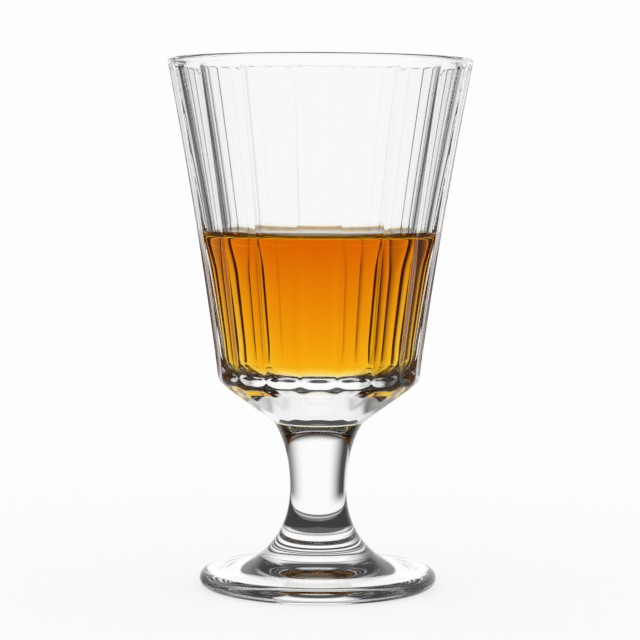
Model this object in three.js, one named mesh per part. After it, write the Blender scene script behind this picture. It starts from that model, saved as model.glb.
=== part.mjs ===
// Pressed-glass goblet with a fluted bowl, holding an amber drink.
// Millimetres, +Z up. The glass stands on Z = 0 with its axis on Z, and one flute faces -Y.
import * as THREE from 'three';

// Heights, stacked from the table up
const FOOT_HEIGHT = 9;
const STEM_LENGTH = 36.5;
const CONE_HEIGHT = 11.1;
const WALL_HEIGHT = 89.2;

// Bowl
const RIM_DIAMETER = 84;
const SHOULDER_DIAMETER = 55.5;
const SHOULDER_ROUND = 6;
const WELD_DIAMETER = 24.5;
const WALL_FLARE = 0.67;
const LIP_WALL = 2.4;
const FLOOR_WALL = 6;
const FLOOR_RISE = 4.7;
const FLOOR_ROUND = 4;

// Flutes, hollowed between their ridges, with a thin plain lip and a diamond left standing at the shoulder
const FLUTES = 18;
const WALL_HOLLOW = 0.4;
const SHOULDER_HOLLOW = 0.25;
const HOLLOW_RISE = 13.4;
const HOLLOW_POWER = 4;
const LIP_BAND = 0.5;
const FLUTE_RUNOUT = 2;
const DIAMOND_REACH = 4.2;
const DIAMOND_SHARE = 0.66;
const WELD_FADE = 2.5;

// Stem
const WAIST_DIAMETER = 15.7;
const WAIST_RISE = 18.2;
const STEM_FOOT_DIAMETER = 31.8;
const UPPER_FLARE_ANGLE = 31;
const LOWER_FLARE_ANGLE = 50;

// Foot
const FOOT_DIAMETER = 65.8;
const FOOT_EDGE_RADIUS = 2.35;
const FOOT_SLOPE_ANGLE = 6;
const RECESS_DIAMETER = 56;
const RECESS_DEPTH = 3.2;

// Drink
const DRINK_DEPTH = 36.8;
const DRINK_GAP = 0.3;

// Fineness of the round surfaces
const SIDES_PER_FLUTE = 6;
const ROUND_SIDES = 54;

// Levels worked out from the heights
const WELD_Z = FOOT_HEIGHT + STEM_LENGTH;
const SHOULDER_Z = WELD_Z + CONE_HEIGHT;
const RIM_Z = SHOULDER_Z + WALL_HEIGHT;
const FLOOR_Z = SHOULDER_Z + FLOOR_RISE;
const FILL_Z = FLOOR_Z + DRINK_DEPTH;
const WAIST_Z = FOOT_HEIGHT + WAIST_RISE;

const HALF_FLUTE = Math.PI / FLUTES;

// A point of a half section: distance from the axis, then height
function at(radius, height) {
  return new THREE.Vector2(radius, height);
}

function radians(degrees) {
  return THREE.MathUtils.degToRad(degrees);
}

// Arc of the given radius that rounds a corner, running from the first leg to the second
function cornerArc(from, corner, to, radius) {
  const back = from.clone().sub(corner).normalize();
  const ahead = to.clone().sub(corner).normalize();
  const half = Math.acos(back.dot(ahead)) / 2;
  const centre = back.clone().add(ahead).setLength(radius / Math.sin(half)).add(corner);
  const start = back.clone().multiplyScalar(radius / Math.tan(half)).add(corner).sub(centre);
  const end = ahead.clone().multiplyScalar(radius / Math.tan(half)).add(corner).sub(centre);
  const clockwise = start.cross(end) < 0;
  return new THREE.EllipseCurve(
    centre.x, centre.y, radius, radius, start.angle(), end.angle(), clockwise,
  );
}

// Evenly spaced values from the first to the last, both included
function spaced(first, last, steps) {
  return Array.from({ length: steps + 1 }, (_, index) => first + ((last - first) * index) / steps);
}

// Solid of revolution round +Z from a half section that starts and ends on the axis
function revolve(section, sides) {
  return new THREE.LatheGeometry(section, sides).rotateX(Math.PI / 2);
}

// Outside of the wall from shoulder to lip: a long curve that opens a little faster near the rim
function wallOutside() {
  const shoulder = at(SHOULDER_DIAMETER / 2, SHOULDER_Z);
  const rim = at(RIM_DIAMETER / 2, RIM_Z - LIP_WALL / 2);
  const along = rim.clone().sub(shoulder).normalize();
  const inward = at(-along.y, along.x);
  const control = shoulder.clone().lerp(rim, 0.5).addScaledVector(inward, 2 * WALL_FLARE);
  return { shoulder, control, rim };
}

// Outside of the bowl as one path from the weld up, with the distance at which the shoulder lies
function bowlOutside() {
  const { shoulder, control, rim } = wallOutside();
  const weld = at(WELD_DIAMETER / 2, WELD_Z);
  const round = cornerArc(weld, shoulder, control, SHOULDER_ROUND);
  const path = new THREE.CurvePath();
  path.add(new THREE.LineCurve(weld, round.getPoint(0)));
  path.add(round);
  path.add(new THREE.QuadraticBezierCurve(round.getPoint(1), control, rim));
  const [coneEnd, roundEnd, length] = path.getCurveLengths();
  return { path, length, shoulderAt: (coneEnd + roundEnd) / 2 };
}

// Inside of the bowl at a given height: the outer wall less a thickness that grows towards the floor
function insideRadius(height) {
  const { shoulder, control, rim } = wallOutside();
  const rise = (height - shoulder.y) / (rim.y - shoulder.y);
  const outside = new THREE.QuadraticBezierCurve(shoulder, control, rim).getPoint(rise).x;
  return outside - THREE.MathUtils.lerp(FLOOR_WALL, LIP_WALL, rise);
}

// Inside of the bowl from a height down to the floor's middle, drawn in by a clearance
function insideSection(top, clearance, steps) {
  const floor = FLOOR_Z + clearance;
  const radiusAt = (height) => insideRadius(height) - clearance;
  const corner = at(radiusAt(floor), floor);
  const above = floor + 2 * FLOOR_ROUND;
  const round = cornerArc(at(radiusAt(above), above), corner, at(0, floor), FLOOR_ROUND);
  const wall = spaced(top, round.getPoint(0).y, steps).map((height) => at(radiusAt(height), height));
  return [...wall.slice(0, -1), ...round.getPoints(4), at(0, floor)];
}

// Depth of a flute's hollow below its flat: full on the wall, less at the shoulder and down the cone
function hollowDepth(point) {
  const risen = THREE.MathUtils.smoothstep(point.y, SHOULDER_Z, SHOULDER_Z + HOLLOW_RISE);
  const narrowed = Math.min(1, point.x / (SHOULDER_DIAMETER / 2));
  return THREE.MathUtils.lerp(SHOULDER_HOLLOW, WALL_HOLLOW, risen) * narrowed ** 2;
}

// Depth of a flute below a point of the round wall, at a turn away from the flute's middle
function fluteDepth(point, turn) {
  const flat = point.x * (1 - Math.cos(HALF_FLUTE) / Math.cos(turn));
  const side = Math.abs(Math.tan(turn) / Math.tan(HALF_FLUTE));
  return flat + hollowDepth(point) * (1 - side ** HOLLOW_POWER);
}

// Share of a flute's depth that is left standing at a distance along the outside of the bowl
function standingShare(distance, shoulderAt, lipAt) {
  const diamond = DIAMOND_SHARE * (1 - Math.abs(distance - shoulderAt) / DIAMOND_REACH);
  const weld = 1 - distance / WELD_FADE;
  const lip = Math.max(0, 1 - (lipAt - distance) / FLUTE_RUNOUT) ** 2;
  return Math.max(0, diamond, weld, lip);
}

// Fluted cup on its panelled cone, as a revolved section whose outer rows are then cut to flutes
function bowlGeometry() {
  const { path, length, shoulderAt } = bowlOutside();
  const lipAt = length - LIP_BAND;
  const coneTop = shoulderAt - DIAMOND_REACH;
  const wallFoot = shoulderAt + DIAMOND_REACH;
  const fullAt = shoulderAt + HOLLOW_RISE;
  const runoutAt = lipAt - FLUTE_RUNOUT;
  const stations = [
    ...spaced(0, WELD_FADE, 2),
    ...spaced(WELD_FADE, coneTop, 2).slice(1),
    ...spaced(coneTop, wallFoot, 8).slice(1),
    ...spaced(wallFoot, fullAt, 2).slice(1),
    ...spaced(fullAt, runoutAt, 5).slice(1),
    ...spaced(runoutAt, lipAt, 3).slice(1),
    length,
  ];
  const outside = stations.map((distance) => path.getPointAt(distance / length));
  const rim = outside.at(-1);
  const lip = new THREE.EllipseCurve(
    rim.x - LIP_WALL / 2, rim.y, LIP_WALL / 2, LIP_WALL / 2, 0, Math.PI,
  );
  const section = [
    at(0, WELD_Z),
    ...outside,
    ...lip.getPoints(6).slice(1, -1),
    ...insideSection(rim.y, 0, 6),
  ];
  const sides = FLUTES * SIDES_PER_FLUTE;
  const lathe = new THREE.LatheGeometry(section, sides);
  const position = lathe.attributes.position;
  for (let side = 0; side <= sides; side += 1) {
    const stepsOff = ((side + SIDES_PER_FLUTE / 2) % SIDES_PER_FLUTE) - SIDES_PER_FLUTE / 2;
    const turn = (stepsOff / SIDES_PER_FLUTE) * 2 * HALF_FLUTE;
    stations.forEach((distance, row) => {
      const vertex = side * section.length + row + 1;
      const point = outside[row];
      const standing = standingShare(distance, shoulderAt, lipAt) * fluteDepth(point, 0);
      const cut = Math.max(0, fluteDepth(point, turn) - standing);
      const scale = (point.x - cut) / point.x;
      position.setX(vertex, position.getX(vertex) * scale);
      position.setZ(vertex, position.getZ(vertex) * scale);
    });
  }
  return lathe.rotateX(Math.PI / 2);
}

// Waisted stem: flares down into the foot and up into the weld
function stemGeometry() {
  const foot = at(STEM_FOOT_DIAMETER / 2, FOOT_HEIGHT);
  const waist = at(WAIST_DIAMETER / 2, WAIST_Z);
  const weld = at(WELD_DIAMETER / 2, WELD_Z);
  const lowerBend = (foot.x - waist.x) / Math.tan(radians(LOWER_FLARE_ANGLE));
  const upperBend = (weld.x - waist.x) / Math.tan(radians(UPPER_FLARE_ANGLE));
  const lower = new THREE.QuadraticBezierCurve(foot, at(waist.x, foot.y + lowerBend), waist);
  const upper = new THREE.QuadraticBezierCurve(waist, at(waist.x, weld.y - upperBend), weld);
  return revolve(
    [at(0, foot.y), ...lower.getPoints(8), ...upper.getPoints(7).slice(1), at(0, weld.y)],
    ROUND_SIDES,
  );
}

// Round foot: rolled edge, sloping top that sweeps up to the stem, shallow recess underneath
function footGeometry() {
  const stem = at(STEM_FOOT_DIAMETER / 2, FOOT_HEIGHT);
  const slope = radians(FOOT_SLOPE_ANGLE);
  const edgeCentre = FOOT_DIAMETER / 2 - FOOT_EDGE_RADIUS;
  const edge = new THREE.EllipseCurve(
    edgeCentre, FOOT_EDGE_RADIUS, FOOT_EDGE_RADIUS, FOOT_EDGE_RADIUS, -Math.PI / 2, Math.PI / 2 - slope,
  );
  const brow = edge.getPoint(1);
  const flare = Math.tan(radians(90 - LOWER_FLARE_ANGLE));
  const bendRadius = (stem.y + flare * stem.x - brow.y - Math.tan(slope) * brow.x) / (flare - Math.tan(slope));
  const bend = at(bendRadius, stem.y - flare * (bendRadius - stem.x));
  const top = new THREE.QuadraticBezierCurve(brow, bend, stem);
  const recess = new THREE.QuadraticBezierCurve(
    at(0, RECESS_DEPTH), at(RECESS_DIAMETER / 4, RECESS_DEPTH), at(RECESS_DIAMETER / 2, 0),
  );
  return revolve(
    [...recess.getPoints(4), ...edge.getPoints(8), ...top.getPoints(7).slice(1), at(0, stem.y)],
    ROUND_SIDES,
  );
}

// Drink at rest: fills the bowl from just above its floor, level at the top
function drinkGeometry() {
  const side = insideSection(FILL_Z, DRINK_GAP, 5).reverse();
  return revolve([...side, at(0, FILL_Z)], ROUND_SIDES);
}

const clearGlass = {
  color: 0xf1f5f3, roughness: 0.03, metalness: 0, transparent: true, opacity: 0.35,
};
const amberDrink = {
  color: 0xe68a0c, roughness: 0.05, metalness: 0, transparent: true, opacity: 0.8,
};

function piece(name, geometry, finish) {
  const mesh = new THREE.Mesh(geometry, new THREE.MeshStandardMaterial(finish));
  mesh.name = name;
  return mesh;
}

const goblet = new THREE.Group();
goblet.add(
  piece('foot', footGeometry(), clearGlass),
  piece('stem', stemGeometry(), clearGlass),
  piece('bowl', bowlGeometry(), clearGlass),
  piece('drink', drinkGeometry(), amberDrink),
);

export default goblet;
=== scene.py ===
"""Pressed-glass goblet holding an amber drink: its looks, a plain studio and the camera."""
import logging
import math
from dataclasses import dataclass
from enum import Enum, IntEnum
from typing import Any, Callable

import bmesh
import bpy
from mathutils import Euler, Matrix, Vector


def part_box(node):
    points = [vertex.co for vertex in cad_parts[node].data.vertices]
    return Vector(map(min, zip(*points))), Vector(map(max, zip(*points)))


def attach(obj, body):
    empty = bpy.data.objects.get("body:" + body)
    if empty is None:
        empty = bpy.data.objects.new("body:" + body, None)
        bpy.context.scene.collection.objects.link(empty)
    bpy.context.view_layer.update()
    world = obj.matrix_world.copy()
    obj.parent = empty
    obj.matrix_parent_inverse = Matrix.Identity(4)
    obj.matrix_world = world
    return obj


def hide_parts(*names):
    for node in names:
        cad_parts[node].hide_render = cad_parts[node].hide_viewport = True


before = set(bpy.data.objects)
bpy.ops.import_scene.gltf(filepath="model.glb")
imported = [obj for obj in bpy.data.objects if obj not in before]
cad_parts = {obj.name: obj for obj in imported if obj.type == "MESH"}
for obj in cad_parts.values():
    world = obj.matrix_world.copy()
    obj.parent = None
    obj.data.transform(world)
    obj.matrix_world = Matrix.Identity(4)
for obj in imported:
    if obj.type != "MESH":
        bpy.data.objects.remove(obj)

LOG = logging.getLogger("goblet")
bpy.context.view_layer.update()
BODY = "root"
MM = 0.001
FULL_TURN = 2 * math.pi
DEGREES = 180 / math.pi

GLASS_IOR = 1.52
DRINK_IOR = 1.36
OPEN_MARK = "open_surface"
CREASE_ANGLE = 40.0
TOUCHING = 0.001 * MM
MERGED = 0.0001 * MM
THROUGH_BOUNCES = 48
MIRROR_BOUNCES = 24

# Numbers of a colour Mix node's sockets, which share their names with its other kinds
MIX_SHARE, MIX_FIRST, MIX_SECOND, MIX_RESULT = 0, 6, 7, 2

Colour = tuple[float, float, float, float]
Point = tuple[float, float]
Span = tuple[float, float]


class Slot(Enum):
    """The record's material slots."""

    GLASS = "clear_glass"
    DRINK = "amber_drink"


class BowlFace(IntEnum):
    """Finishes of the bowl's faces, in the order of its materials."""

    DRY = 0
    WETTED = 1
    FUSED = 2


class Value:
    """A number that varies over a surface: an output socket whose arithmetic adds Math nodes."""

    def __init__(self, shading: "Shading", socket: bpy.types.NodeSocket) -> None:
        """Keeps the socket and the node tree that it belongs to."""
        self.shading = shading
        self.socket = socket

    def __add__(self, other: "float | Value") -> "Value":
        """Sum of two values."""
        return self.shading.math("ADD", self, other)

    __radd__ = __add__

    def __sub__(self, other: "float | Value") -> "Value":
        """This value less another."""
        return self.shading.math("SUBTRACT", self, other)

    def __rsub__(self, other: float) -> "Value":
        """A number less this value."""
        return self.shading.math("SUBTRACT", other, self)

    def __mul__(self, other: "float | Value") -> "Value":
        """Product of two values."""
        return self.shading.math("MULTIPLY", self, other)

    __rmul__ = __mul__

    def rising(self, low: float, high: float) -> "Value":
        """Smooth step of this value.

        Args:
            low: where the step leaves 0.
            high: where the step reaches 1.

        Returns:
            The step, from 0 to 1.
        """
        step = self.shading.node(
            "ShaderNodeMapRange",
            {"interpolation_type": "SMOOTHSTEP"},
            {"Value": self, "From Min": low, "From Max": high},
        )
        return Value(self.shading, step.outputs["Result"])


class Shading:
    """A node tree that is filled one node at a time."""

    def __init__(self, tree: bpy.types.NodeTree) -> None:
        """Starts from an empty tree."""
        self.tree = tree
        tree.nodes.clear()

    def node(
        self, kind: str, settings: dict[str, Any] | None = None, sockets: dict[str | int, Any] | None = None
    ) -> bpy.types.Node:
        """Adds one node.

        Args:
            kind: the node's type.
            settings: its properties, set before its sockets.
            sockets: by name or number, each a plain value, a Value, or a socket to link.

        Returns:
            The new node.
        """
        node = self.tree.nodes.new(kind)
        for name, setting in (settings or {}).items():
            setattr(node, name, setting)
        for name, value in (sockets or {}).items():
            source = value.socket if isinstance(value, Value) else value
            if isinstance(source, bpy.types.NodeSocket):
                self.tree.links.new(source, node.inputs[name])
            else:
                node.inputs[name].default_value = source
        return node

    def math(self, operation: str, *operands: float | Value) -> Value:
        """Value that a Math node works out from one or more operands."""
        node = self.node("ShaderNodeMath", {"operation": operation}, dict(enumerate(operands)))
        return Value(self, node.outputs[0])

    def blend(
        self, share: Value, first: Colour | bpy.types.NodeSocket, second: Colour | bpy.types.NodeSocket
    ) -> bpy.types.NodeSocket:
        """Colour between two others.

        Args:
            share: how far it is from the first to the second, from 0 to 1.
            first: the colour at 0.
            second: the colour at 1.

        Returns:
            The socket that gives the colour.
        """
        sockets = {MIX_SHARE: share, MIX_FIRST: first, MIX_SECOND: second}
        return self.node("ShaderNodeMix", {"data_type": "RGBA"}, sockets).outputs[MIX_RESULT]

    def height(self) -> Value:
        """Height above the table, on the piece's own coordinates."""
        place = self.node("ShaderNodeTexCoord").outputs["Object"]
        return Value(self, self.node("ShaderNodeSeparateXYZ", None, {0: place}).outputs["Z"])

    def noise(self, scale: float, detail: float) -> Value:
        """Noise on the piece's own coordinates.

        Args:
            scale: cells per metre.
            detail: octaves added to the first.

        Returns:
            The noise, from 0 to 1.
        """
        place = self.node("ShaderNodeTexCoord").outputs["Object"]
        noise = self.node("ShaderNodeTexNoise", None, {"Vector": place, "Scale": scale, "Detail": detail})
        return Value(self, noise.outputs["Fac"])


def new_shading(name: str) -> tuple[bpy.types.Material, Shading]:
    """Makes an empty node material.

    Args:
        name: the material's name.

    Returns:
        The material, and its tree to fill.
    """
    material = bpy.data.materials.new(name)
    material.use_nodes = True
    return material, Shading(material.node_tree)


@dataclass(frozen=True)
class GlassFinish:
    """Clear pressed glass, fire polished, with the faint waviness that the mould leaves."""

    name: str
    ior: float
    tint: Colour = (0.994, 0.998, 0.996, 1.0)
    mirror: Colour = (0.35, 0.35, 0.35, 1.0)
    haze: float = 0.012
    wave_scale: float = 95.0
    wave_detail: float = 1.0
    wave_height: float = 0.012 * MM
    smear_scale: float = 190.0
    smear_detail: float = 3.0
    smear_edge: Span = (0.45, 0.75)

    def colour(self, shading: Shading) -> Colour | bpy.types.NodeSocket:
        """Colour that light takes as it passes, the same all over."""
        return self.tint

    def material(self) -> bpy.types.Material:
        """Makes the finish a node material.

        Returns:
            The material, named after the finish.
        """
        material, shading = new_shading(self.name)
        waves = shading.noise(self.wave_scale, self.wave_detail)
        bump = shading.node("ShaderNodeBump", None, {"Height": waves, "Distance": self.wave_height})
        smears = shading.noise(self.smear_scale, self.smear_detail).rising(*self.smear_edge)
        surface = shading.node(
            "ShaderNodeBsdfPrincipled",
            None,
            {
                "Base Color": self.colour(shading),
                "Roughness": self.haze * smears,
                "IOR": self.ior,
                "Specular Tint": self.mirror,
                "Transmission Weight": 1.0,
                "Normal": bump.outputs["Normal"],
            },
        )
        shading.node("ShaderNodeOutputMaterial", None, {"Surface": surface.outputs["BSDF"]})
        return material


@dataclass(frozen=True, kw_only=True)
class WettedFinish(GlassFinish):
    """Glass behind which the drink stands, tinted with painted shade in the drink's amber that deepens
    towards the drink's top.
    """

    foot: float
    level: float
    at_foot: Colour = (1.0, 1.0, 1.0, 1.0)
    # painted shade: the amber tint at the drink's level, where it is darkest
    shade_at_level: Colour = (0.776, 0.41, 0.12, 1.0)
    fade: float = 0.2 * MM

    def colour(self, shading: Shading) -> Colour | bpy.types.NodeSocket:
        """Colour that light takes as it passes: painted shade, graded from none at the drink's foot to
        deepest at its level.

        Args:
            shading: the tree that the grading is added to.

        Returns:
            The socket that gives the colour.
        """
        height = shading.height()
        # painted shade share: rises with height and ends just above the level
        shade_by_height = (height - self.foot) * (1 / (self.level - self.foot))
        below = 1.0 - height.rising(self.level, self.level + self.fade)
        return shading.blend(shade_by_height * below, self.at_foot, self.shade_at_level)


@dataclass(frozen=True)
class FusedFinish:
    """The face where two gathers of glass melted into one, which bends no light."""

    name: str

    def material(self) -> bpy.types.Material:
        """Makes the finish a node material.

        Returns:
            The material, named after the finish.
        """
        material, shading = new_shading(self.name)
        surface = shading.node("ShaderNodeBsdfTransparent")
        shading.node("ShaderNodeOutputMaterial", None, {"Surface": surface.outputs["BSDF"]})
        return material


@dataclass(frozen=True)
class DrinkFinish:
    """Aged spirit: clear, amber through its depth, with a bright open surface."""

    name: str
    ior: float
    level: float
    through_top: Colour = (0.75, 0.45, 0.12, 1.0)
    through_edge: Colour = (1.0, 1.0, 1.0, 1.0)
    edge_fade: Span = (0.01 * MM, 0.1 * MM)
    soaked_up: Colour = (0.9934, 0.8416, 0.0, 1.0)
    strength: float = 125.0
    ripple_scale: float = 160.0
    ripple_detail: float = 1.0
    ripple_height: float = 0.004 * MM

    def material(self) -> bpy.types.Material:
        """Makes the finish a node material: only the open surface bends light, as the drink wets the glass.

        Returns:
            The material, named after the finish.
        """
        material, shading = new_shading(self.name)
        is_open = shading.node("ShaderNodeAttribute", {"attribute_name": OPEN_MARK}).outputs["Fac"]
        climbed = shading.height() - self.level
        ripples = shading.noise(self.ripple_scale, self.ripple_detail)
        bump = shading.node("ShaderNodeBump", None, {"Height": ripples, "Distance": self.ripple_height})
        surface = shading.node(
            "ShaderNodeBsdfPrincipled",
            None,
            {
                "Base Color": shading.blend(
                    climbed.rising(*self.edge_fade), self.through_top, self.through_edge
                ),
                "Roughness": 0.0,
                "IOR": self.ior,
                "Transmission Weight": 1.0,
                "Normal": bump.outputs["Normal"],
            },
        )
        side = shading.node("ShaderNodeBsdfTransparent")
        both = shading.node(
            "ShaderNodeMixShader", None, {0: is_open, 1: side.outputs["BSDF"], 2: surface.outputs["BSDF"]}
        )
        depth = shading.node(
            "ShaderNodeVolumeAbsorption", None, {"Color": self.soaked_up, "Density": self.strength}
        )
        shading.node(
            "ShaderNodeOutputMaterial", None, {"Surface": both.outputs[0], "Volume": depth.outputs["Volume"]}
        )
        return material


class Section:
    """Half section of a round piece, drawn point by point and then turned round the axis."""

    def __init__(self, radius: float, height: float) -> None:
        """Starts the section at a point."""
        self.points: list[Point] = [(radius, height)]

    def line(self, radius: float, height: float, steps: int = 1) -> None:
        """Adds a straight run.

        Args:
            radius: where it ends, from the axis.
            height: where it ends, above the table.
            steps: how many lengths it is cut into.
        """
        start = Vector(self.points[-1])
        end = Vector((radius, height))
        self.points += [tuple(start.lerp(end, step / steps)) for step in range(1, steps + 1)]

    def bend(self, corner: Point, end: Point, steps: int, ease: Callable[[float], float] = float) -> None:
        """Adds a curve that leaves towards a corner and arrives from it.

        Args:
            corner: the point that the curve is drawn towards.
            end: where it ends.
            steps: how many lengths it is cut into.
            ease: how the lengths crowd along it, from 0 to 1.
        """
        first, middle, last = Vector(self.points[-1]), Vector(corner), Vector(end)
        for step in range(1, steps + 1):
            share = ease(step / steps)
            self.points.append(tuple(first.lerp(middle, share).lerp(middle.lerp(last, share), share)))

    def arc(self, centre: Point, radius: float, start: float, stop: float, steps: int) -> None:
        """Adds an arc, joined to the section by a straight run where it starts elsewhere.

        Args:
            centre: the arc's centre.
            radius: its radius.
            start: angle of its first point, in radians from the outward direction.
            stop: angle of its last point.
            steps: how many lengths it is cut into.
        """
        for step in range(steps + 1):
            angle = start + (stop - start) * step / steps
            point = (centre[0] + radius * math.cos(angle), centre[1] + radius * math.sin(angle))
            if math.dist(point, self.points[-1]) > TOUCHING:
                self.points.append(point)

    def fillet(self, corner: Point, towards: Point, radius: float, steps: int, run: int = 1) -> None:
        """Runs straight towards a corner and rounds it.

        Args:
            corner: the corner that is rounded off.
            towards: a point on the leg after it.
            radius: the rounding's radius.
            steps: how many lengths the rounding is cut into.
            run: how many lengths the straight run is cut into.
        """
        turn = Vector(corner)
        back = (Vector(self.points[-1]) - turn).normalized()
        ahead = (Vector(towards) - turn).normalized()
        half = back.angle(ahead) / 2
        centre = turn + (back + ahead).normalized() * (radius / math.sin(half))
        reach = radius / math.tan(half)
        self.line(*(turn + back * reach), run)
        first = turn + back * reach - centre
        last = turn + ahead * reach - centre
        start = math.atan2(first.y, first.x)
        sweep = math.atan2(first.x * last.y - first.y * last.x, first.dot(last))
        self.arc(tuple(centre), radius, start, start + sweep, steps)

    def turned(self, sides: int) -> bmesh.types.BMesh:
        """Turns the section round the axis.

        Args:
            sides: how many steps the full turn has.

        Returns:
            The closed surface, with faces pointing out.
        """
        mesh = bmesh.new()
        row = mesh.verts.layers.int.new("row")
        corners = []
        for number, (radius, height) in enumerate(self.points):
            corner = mesh.verts.new((0.0, -radius, height))
            corner[row] = number
            corners.append(corner)
        edges = [mesh.edges.new(pair) for pair in zip(corners, corners[1:])]
        bmesh.ops.spin(
            mesh, geom=corners + edges, cent=(0, 0, 0), axis=(0, 0, 1), angle=FULL_TURN, steps=sides,
            use_merge=True, use_duplicate=False,
        )
        bmesh.ops.remove_doubles(mesh, verts=mesh.verts, dist=MERGED)
        bmesh.ops.recalc_face_normals(mesh, faces=mesh.faces)
        return mesh


def eased(share: float) -> float:
    """Share that crowds towards both ends."""
    return 0.5 - 0.5 * math.cos(math.pi * share)


def step_between(value: float, low: float, high: float) -> float:
    """Smooth step of a value, from 0 at low to 1 at high."""
    share = min(1.0, max(0.0, (value - low) / (high - low)))
    return share * share * (3 - 2 * share)


def soft_max(first: float, second: float, blend: float) -> float:
    """Larger of two values, rounded over where they are closer than blend."""
    near = max(blend - abs(first - second), 0.0) / blend
    return max(first, second) + near * near * blend / 4


def spread(start: float, end: float, count: int) -> list[float]:
    """Evenly spaced values after start, the last of them at end."""
    return [start + (end - start) * step / count for step in range(1, count + 1)]


def finished(
    name: str, mesh: bmesh.types.BMesh, finishes: list[bpy.types.Material]
) -> bpy.types.Object:
    """Makes a piece from its mesh, in place of the CAD node of the same kind.

    Args:
        name: the CAD node that the piece replaces.
        mesh: the piece's surface, which is used up.
        finishes: materials, in the order of the faces' numbers.

    Returns:
        The piece, riding on the body.
    """
    data = bpy.data.meshes.new(f"{name}_surface")
    mesh.to_mesh(data)
    mesh.free()
    data.shade_smooth()
    data.set_sharp_from_angle(angle=math.radians(CREASE_ANGLE))
    for finish in finishes:
        data.materials.append(finish)
    piece = bpy.data.objects.new(f"{name}_piece", data)
    bpy.context.scene.collection.objects.link(piece)
    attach(piece, BODY)
    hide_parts(name)
    return piece


@dataclass
class Foot:
    """Round foot: rolled edge, sloping top that sweeps up to the stem, shallow recess underneath."""

    glass: bpy.types.Material
    fused: bpy.types.Material
    neck_radius: float = 15.9 * MM
    edge_radius: float = 2.35 * MM
    slope: float = 6.0
    flare: float = 50.0
    recess_radius: float = 28.0 * MM
    recess_depth: float = 3.2 * MM
    recess_rows: int = 24
    edge_rows: int = 28
    top_rows: int = 40
    sides: int = 192

    def build(self) -> bmesh.types.BMesh:
        """Builds the foot from its recess round to its neck.

        Returns:
            One closed surface, with its fused top numbered 1.
        """
        low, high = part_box("foot")
        recess, neck = self.recess_radius, self.neck_radius
        slope = math.radians(self.slope)
        fall = math.tan(slope)
        rise = math.tan(math.radians(90 - self.flare))
        edge = (high.y - self.edge_radius, self.edge_radius)
        section = Section(0.0, self.recess_depth)
        section.bend((recess / 2, self.recess_depth), (recess, low.z), self.recess_rows)
        section.arc(edge, self.edge_radius, -math.pi / 2, math.pi / 2 - slope, self.edge_rows)
        brow_radius, brow_height = section.points[-1]
        corner = (high.z + rise * neck - brow_height - fall * brow_radius) / (rise - fall)
        section.bend((corner, high.z - rise * (corner - neck)), (neck, high.z), self.top_rows)
        section.line(0.0, high.z)
        mesh = section.turned(self.sides)
        for face in mesh.faces:
            face.material_index = int(face.calc_center_median().z > high.z - TOUCHING)
        return mesh

    def dress(self) -> bpy.types.Object:
        """Foot in its glass."""
        return finished("foot", self.build(), [self.glass, self.fused])


@dataclass
class Stem:
    """Waisted stem: flares down into the foot and up into the bowl."""

    glass: bpy.types.Material
    fused: bpy.types.Material
    foot_radius: float = 15.9 * MM
    weld_radius: float = 12.25 * MM
    waist_radius: float = 7.85 * MM
    waist_rise: float = 18.2 * MM
    lower_flare: float = 50.0
    upper_flare: float = 31.0
    flare_rows: int = 40
    sides: int = 160

    def build(self) -> bmesh.types.BMesh:
        """Builds the stem from the foot's weld to the bowl's.

        Returns:
            One closed surface, with its fused ends numbered 1.
        """
        low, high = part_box("stem")
        slim = self.waist_radius
        waist = low.z + self.waist_rise
        lower = (self.foot_radius - slim) / math.tan(math.radians(self.lower_flare))
        upper = (self.weld_radius - slim) / math.tan(math.radians(self.upper_flare))
        section = Section(0.0, low.z)
        section.line(self.foot_radius, low.z)
        section.bend((slim, low.z + lower), (slim, waist), self.flare_rows)
        section.bend((slim, high.z - upper), (self.weld_radius, high.z), self.flare_rows)
        section.line(0.0, high.z)
        mesh = section.turned(self.sides)
        for face in mesh.faces:
            middle = face.calc_center_median().z
            face.material_index = int(middle < low.z + TOUCHING or middle > high.z - TOUCHING)
        return mesh

    def dress(self) -> bpy.types.Object:
        """Stem in its glass."""
        return finished("stem", self.build(), [self.glass, self.fused])


@dataclass
class Hollow:
    """Inside of the bowl, which the wall's glass and the drink share."""

    rim: Point
    shoulder: Point = (27.75 * MM, 56.6 * MM)
    bulge: float = 0.67 * MM
    lip_wall: float = 1.9 * MM
    floor_wall: float = 6.0 * MM
    floor: float = 59.0 * MM
    floor_round: float = 8.0 * MM
    round_rows: int = 12
    floor_rows: int = 10

    def corner(self) -> Point:
        """Finds the point that the wall's outside is drawn towards.

        Returns:
            The point, as far off the wall's chord as gives it its bulge.
        """
        shoulder, rim = Vector(self.shoulder), Vector(self.rim)
        along = (rim - shoulder).normalized()
        middle = shoulder.lerp(rim, 0.5) + 2 * self.bulge * Vector((-along.y, along.x))
        return tuple(middle)

    def radius(self, height: float) -> float:
        """Finds the inside radius: the outside less a wall that thickens towards the floor.

        Args:
            height: above the table.

        Returns:
            The radius at that height.
        """
        share = (height - self.shoulder[1]) / (self.rim[1] - self.shoulder[1])
        ends = (1 - share) ** 2 * self.shoulder[0] + share ** 2 * self.rim[0]
        outside = ends + 2 * share * (1 - share) * self.corner()[0]
        return outside - self.floor_wall - (self.lip_wall - self.floor_wall) * share

    def wall_foot(self) -> float:
        """Height at which the wall's rows end, twice the rounding above the floor."""
        return self.floor + 2 * self.floor_round

    def draw(self, section: Section, levels: list[float], gap: float = 0.0) -> None:
        """Adds the inside to a section, from the top down to the floor's middle.

        Args:
            section: the section to add to.
            levels: heights of the rows on the wall, falling.
            gap: how far the line keeps off the glass.
        """
        floor = self.floor + gap
        for height in levels:
            section.line(self.radius(height) - gap, height)
        corner = (self.radius(floor) - gap, floor)
        section.fillet(corner, (0.0, floor), self.floor_round, self.round_rows)
        section.line(0.0, floor, self.floor_rows)


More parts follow.
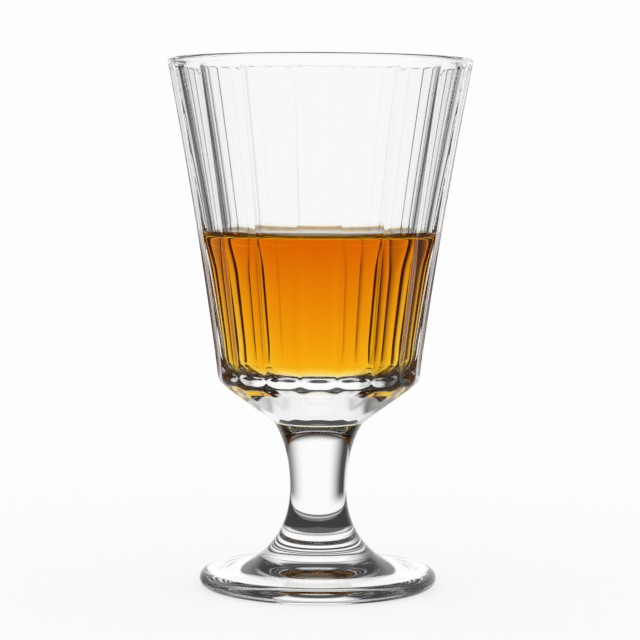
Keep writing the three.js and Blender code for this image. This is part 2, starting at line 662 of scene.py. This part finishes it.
@dataclass
class Bowl:
    """Cup with hollow flutes on its panelled cone, pressed in one."""

    glass: bpy.types.Material
    wet: bpy.types.Material
    fused: bpy.types.Material
    hollow: Hollow
    wet_to: float
    weld_radius: float = 12.25 * MM
    shoulder_round: float = 6.0 * MM
    flutes: int = 18
    hollow_lip: float = 0.25 * MM
    hollow_deep: float = 0.7 * MM
    hollow_shoulder: float = 0.25 * MM
    power_lip: float = 6.0
    power_deep: float = 2.5
    deep_from: float = 70.0 * MM
    deep_to: float = 88.0 * MM
    lip_from: float = 98.0 * MM
    lip_band: float = 0.5 * MM
    runout: float = 2.0 * MM
    diamond_reach: float = 4.2 * MM
    diamond_share: float = 0.66
    weld_fade: float = 18.0 * MM
    ridge_blend: float = 0.2 * MM
    middle_radius: float = 1.0 * MM
    columns: int = 24
    crowding: float = 0.75
    cone_rows: int = 16
    shoulder_rows: int = 16
    wall_rows: int = 84
    lip_rows: int = 14
    dry_rows: int = 24
    wet_rows: int = 16

    def hollowed(self, radius: float, height: float) -> float:
        """Depth of a flute's hollow below its flat, at a point of the round wall.

        Args:
            radius: of the round wall.
            height: above the table.

        Returns:
            The depth, which falls away up the wall and with the panel's width down the cone.
        """
        wide, low = self.hollow.shoulder
        if height > self.deep_from:
            share = step_between(height, self.lip_from, self.deep_to)
            return self.hollow_lip + (self.hollow_deep - self.hollow_lip) * share
        share = step_between(height, low, self.deep_from)
        on_wall = self.hollow_shoulder + (self.hollow_deep - self.hollow_shoulder) * share
        return on_wall * min(1.0, radius / wide) ** 2

    def depth(self, radius: float, height: float, turn: float) -> float:
        """Depth of one flute below the round wall.

        Args:
            radius: of the round wall.
            height: above the table.
            turn: angle from the flute's middle.

        Returns:
            The depth, which is below zero past the ridge.
        """
        half = math.pi / self.flutes
        flat = radius * (1 - math.cos(half) / math.cos(turn))
        share = step_between(height, self.lip_from, self.deep_to)
        power = self.power_lip + (self.power_deep - self.power_lip) * share
        side = abs(math.tan(turn) / math.tan(half))
        return flat + self.hollowed(radius, height) * (1 - side ** power)

    def standing(self, along: float, shoulder: float, lip: float) -> float:
        """Share of a flute's depth that is left standing.

        Args:
            along: distance from the weld, up the outside.
            shoulder: that distance at the shoulder.
            lip: that distance where the plain band begins.

        Returns:
            The share, from 0 on.
        """
        diamond = self.diamond_share * (1 - abs(along - shoulder) / self.diamond_reach)
        weld = 1 - along / self.weld_fade
        band = max(0.0, 1 - (lip - along) / self.runout) ** 2
        return max(0.0, diamond, weld, band)

    def build(self) -> bmesh.types.BMesh:
        """Builds the bowl from its weld up the outside, over the lip and down the inside.

        Returns:
            One closed surface, with its faces numbered by their finish.
        """
        low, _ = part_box("bowl")
        rim, shoulder, corner = self.hollow.rim, self.hollow.shoulder, self.hollow.corner()
        section = Section(0.0, low.z)
        section.line(self.weld_radius, low.z)
        section.fillet(shoulder, corner, self.shoulder_round, self.shoulder_rows, self.cone_rows)
        shoulder_row = len(section.points) - 1 - self.shoulder_rows // 2
        section.bend(corner, rim, self.wall_rows, eased)
        outer_rows = len(section.points)
        half_lip = self.hollow.lip_wall / 2
        section.arc((rim[0] - half_lip, rim[1]), half_lip, 0.0, math.pi, self.lip_rows)
        dry = spread(rim[1], self.wet_to, self.dry_rows)
        wet = spread(self.wet_to, self.hollow.wall_foot(), self.wet_rows)
        self.hollow.draw(section, dry + wet)
        mesh = section.turned(self.flutes * self.columns)
        self.flute(mesh, section.points[:outer_rows], shoulder_row)
        self.number(mesh, low.z, outer_rows)
        return mesh

    def flute(self, mesh: bmesh.types.BMesh, outside: list[Point], shoulder_row: int) -> None:
        """Hollows the flutes into the turned surface, and crowds its columns towards their ridges.

        Args:
            mesh: the surface, whose vertices know their row.
            outside: the rows' points, from the axis at the weld to the rim.
            shoulder_row: the row at the shoulder's middle.
        """
        along = [0.0, 0.0]
        for point, following in zip(outside[1:], outside[2:]):
            along.append(along[-1] + math.dist(point, following))
        lip = along[-1] - self.lip_band
        pitch = FULL_TURN / self.flutes
        row = mesh.verts.layers.int["row"]
        for vertex in mesh.verts:
            number = vertex[row]
            radius = math.hypot(vertex.co.x, vertex.co.y)
            if number == 0 or radius < self.middle_radius:
                continue
            turn = math.atan2(vertex.co.x, -vertex.co.y)
            middle = round(turn / pitch) * pitch
            off = turn - middle
            off += self.crowding * math.sin(FULL_TURN * off / pitch) * pitch / FULL_TURN
            if number < len(outside):
                height = vertex.co.z
                deepest = self.depth(radius, height, 0.0)
                spare = self.standing(along[number], along[shoulder_row], lip) * deepest
                own = self.depth(radius, height, off)
                next_one = self.depth(radius, height, pitch - abs(off))
                ridge = soft_max(own, next_one, self.ridge_blend)
                radius -= soft_max(ridge - spare, 0.0, self.ridge_blend)
            vertex.co.x = radius * math.sin(middle + off)
            vertex.co.y = -radius * math.cos(middle + off)

    def number(self, mesh: bmesh.types.BMesh, weld: float, outer_rows: int) -> None:
        """Numbers the faces by their finish.

        Args:
            mesh: the fluted surface.
            weld: height of the fused foot.
            outer_rows: rows on the outside.
        """
        row = mesh.verts.layers.int["row"]
        for face in mesh.faces:
            middle = face.calc_center_median()
            inside = min(vertex[row] for vertex in face.verts) >= outer_rows - 1
            if middle.z < weld + TOUCHING:
                face.material_index = BowlFace.FUSED
            elif inside and middle.z < self.wet_to:
                face.material_index = BowlFace.WETTED
            else:
                face.material_index = BowlFace.DRY

    def dress(self) -> bpy.types.Object:
        """Bowl in its glass."""
        return finished("bowl", self.build(), [self.glass, self.wet, self.fused])


@dataclass(frozen=True)
class Fill:
    """How high the drink stands, a little under the CAD drink's top, and how far its edge climbs."""

    cad_top: float
    sink: float = 0.8 * MM
    climb: float = 1.7 * MM

    def level(self) -> float:
        """Height of the open surface."""
        return self.cad_top - self.sink

    def edge(self) -> float:
        """Height that the drink reaches on the wall."""
        return self.level() + self.climb


@dataclass
class Drink:
    """Drink at rest, which fills the bowl and climbs a little where it meets the wall."""

    finish: bpy.types.Material
    hollow: Hollow
    fill: Fill
    climb_reach: float = 1.3 * MM
    climb_span: float = 6.5 * MM
    gap: float = 0.02 * MM
    level_rows: int = 12
    climb_rows: int = 28
    wall_rows: int = 20
    sides: int = 216

    def build(self) -> bmesh.types.BMesh:
        """Builds the drink from its open surface down the wall to the floor.

        Returns:
            One closed surface, with its open faces marked.
        """
        level, edge = self.fill.level(), self.fill.edge()
        reach = self.hollow.radius(edge) - self.gap
        section = Section(0.0, level)
        section.line(reach - self.climb_span, level, self.level_rows)
        inner = section.points[-1][0]
        for quarter in spread(0.0, math.pi / 2, self.climb_rows):
            radius = inner + (reach - inner) * math.sin(quarter)
            climbed = self.fill.climb * math.exp((radius - reach) / self.climb_reach)
            section.line(radius, level + climbed)
        open_rows = len(section.points)
        self.hollow.draw(section, spread(edge, self.hollow.wall_foot(), self.wall_rows), self.gap)
        mesh = section.turned(self.sides)
        row = mesh.verts.layers.int["row"]
        mark = mesh.faces.layers.float.new(OPEN_MARK)
        for face in mesh.faces:
            face[mark] = float(max(vertex[row] for vertex in face.verts) < open_rows)
        return mesh

    def dress(self) -> bpy.types.Object:
        """Drink in its amber."""
        return finished("drink", self.build(), [self.finish])


@dataclass(frozen=True)
class Flag:
    """Soft-edged dark flag beside the glass, by the turn from straight behind it, in degrees."""

    near: Span
    far: Span
    depth: float

    def mask(self, turn: Value) -> Value:
        """How much of the white the flag takes.

        Args:
            turn: degrees from straight behind the glass towards the flag.

        Returns:
            The share taken, from 0 on.
        """
        return turn.rising(*self.near) * (1.0 - turn.rising(*self.far)) * self.depth


@dataclass(frozen=True)
class Studio:
    """Plain white studio: a pale floor, and a white surround with dark parts that glass alone shows."""

    white: Colour = (0.983, 0.983, 0.983, 1.0)
    light: Colour = (1.0, 1.0, 1.0, 1.0)
    black: Colour = (0.0, 0.0, 0.0, 1.0)
    left: Flag = Flag((12.0, 42.0), (50.0, 70.0), 0.93)
    right: Flag = Flag((18.0, 62.0), (75.0, 110.0), 0.74)
    flag_foot: Span = (-24.0, -10.0)
    camera_side: Span = (30.0, 60.0)
    camera_side_top: Span = (60.0, 80.0)
    camera_side_depth: float = 0.95
    overhead: Span = (45.0, 70.0)
    overhead_depth: float = 0.95
    ceiling: Span = (20.0, 33.0)
    ceiling_depth: float = 0.92
    softbox: Span = (45.0, 58.0)
    below: Span = (32.0, 48.0)
    below_depth: float = 0.88
    floor_radius: float = 4.0
    floor_drop: float = 0.05 * MM
    floor_glow: float = 0.72
    floor_sides: int = 96

    def floor(self) -> None:
        """Lays the floor that the foot stands on."""
        material, shading = new_shading("pale_floor")
        lit = shading.node("ShaderNodeBsdfDiffuse", None, {"Color": self.white}).outputs["BSDF"]
        glow = shading.node("ShaderNodeEmission", None, {"Color": self.white}).outputs["Emission"]
        surface = shading.node("ShaderNodeMixShader", None, {0: self.floor_glow, 1: lit, 2: glow})
        shading.node("ShaderNodeOutputMaterial", None, {"Surface": surface.outputs[0]})
        mesh = bmesh.new()
        bmesh.ops.create_circle(mesh, cap_ends=True, radius=self.floor_radius, segments=self.floor_sides)
        bmesh.ops.translate(mesh, verts=mesh.verts, vec=(0, 0, -self.floor_drop))
        data = bpy.data.meshes.new("floor")
        mesh.to_mesh(data)
        mesh.free()
        data.materials.append(material)
        floor = bpy.data.objects.new("floor", data)
        floor.visible_transmission = False
        floor.visible_glossy = False
        bpy.context.scene.collection.objects.link(floor)

    def darkness(self, shading: Shading, mirrored: Value) -> Value:
        """How much of the white each direction lacks.

        Args:
            shading: the world's tree.
            mirrored: 1 for light that glass has mirrored, and 0 for light that it only let through.

        Returns:
            The share lacking, from 0 to 1.
        """
        direction = shading.node("ShaderNodeTexCoord").outputs["Generated"]
        parts = shading.node("ShaderNodeSeparateXYZ", None, {0: direction})
        across, ahead, up = (Value(shading, parts.outputs[axis]) for axis in "XYZ")
        turn = shading.math("ARCTAN2", across, ahead) * DEGREES
        rise = shading.math("ARCSINE", up) * DEGREES
        flags = self.right.mask(turn) + self.left.mask(0.0 - turn)
        aside = shading.math("ABSOLUTE", turn).rising(*self.camera_side)
        wall = aside * (1.0 - rise.rising(*self.camera_side_top)) * self.camera_side_depth
        room = mirrored * (wall + rise.rising(*self.overhead) * self.overhead_depth)
        under = (0.0 - rise).rising(*self.below) * self.below_depth
        above = rise.rising(*self.ceiling) * (1.0 - rise.rising(*self.softbox)) * self.ceiling_depth
        darker = shading.math("MAXIMUM", room, shading.math("MAXIMUM", under, above))
        return shading.math("MAXIMUM", flags * rise.rising(*self.flag_foot), darker)

    def surround(self) -> None:
        """Lights the studio evenly, and shows its dark parts to glass alone."""
        world = bpy.data.worlds.new("studio")
        world.use_nodes = True
        shading = Shading(world.node_tree)
        path = shading.node("ShaderNodeLightPath").outputs
        mirrored = shading.math("MINIMUM", Value(shading, path["Glossy Depth"]), 1.0)
        through = Value(shading, path["Is Transmission Ray"]) + Value(shading, path["Is Glossy Ray"])
        in_glass = shading.blend(self.darkness(shading, mirrored), self.light, self.black)
        seen = shading.blend(shading.math("MINIMUM", through, 1.0), self.white, in_glass)
        shown = shading.blend(Value(shading, path["Is Diffuse Ray"]), seen, self.light)
        background = shading.node("ShaderNodeBackground", None, {"Color": shown})
        shading.node("ShaderNodeOutputWorld", None, {"Surface": background.outputs[0]})
        bpy.context.scene.world = world


@dataclass(frozen=True)
class Viewpoint:
    """Camera at the photograph's viewing angle."""

    distance: float = 659.7 * MM
    height: float = 117.05 * MM
    pitch: float = 3.738
    roll: float = 0.31
    yaw: float = -0.022
    lens: float = 134.42
    sensor: float = 36.0

    def place(self) -> None:
        """Puts the camera in front of the goblet and makes it the scene's."""
        data = bpy.data.cameras.new("viewpoint")
        data.lens = self.lens
        data.sensor_width = self.sensor
        camera = bpy.data.objects.new("viewpoint", data)
        camera.location = (0.0, -self.distance, self.height)
        aim = Euler((math.radians(90 - self.pitch), 0.0, math.radians(self.yaw))).to_quaternion()
        lean = Euler((0.0, 0.0, math.radians(self.roll))).to_quaternion()
        camera.rotation_euler = (aim @ lean).to_euler()
        bpy.context.scene.collection.objects.link(camera)
        bpy.context.scene.camera = camera


def set_light_paths() -> None:
    """Lets light pass every wall of the glass and the drink."""
    scene = bpy.context.scene
    scene.view_settings.view_transform = "Standard"
    scene.cycles.max_bounces = THROUGH_BOUNCES
    scene.cycles.transmission_bounces = THROUGH_BOUNCES
    scene.cycles.glossy_bounces = MIRROR_BOUNCES
    scene.cycles.transparent_max_bounces = THROUGH_BOUNCES


def main() -> None:
    """Builds the goblet, the drink and the studio."""
    logging.basicConfig(level=logging.INFO, format="%(name)s: %(message)s")
    set_light_paths()
    studio = Studio()
    studio.floor()
    studio.surround()
    Viewpoint().place()

    drink_foot, drink_top = (corner.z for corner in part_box("drink"))
    fill = Fill(drink_top)
    level = fill.level()
    glass = GlassFinish("pressed_glass", GLASS_IOR).material()
    wet = WettedFinish("wetted_glass", GLASS_IOR / DRINK_IOR, foot=drink_foot, level=level).material()
    fused = FusedFinish("fused_glass").material()
    amber = DrinkFinish("aged_spirit", DRINK_IOR, level).material()

    _, bowl_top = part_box("bowl")
    hollow = Hollow(rim=(bowl_top.y, bowl_top.z - Hollow.lip_wall / 2))
    pieces = [
        Foot(glass, fused).dress(),
        Stem(glass, fused).dress(),
        Bowl(glass, wet, fused, hollow, fill.edge()).dress(),
        Drink(amber, hollow, fill).dress(),
    ]
    for piece in pieces:
        LOG.info("%s: %d faces", piece.name, len(piece.data.polygons))


if __name__ == "__main__":
    main()
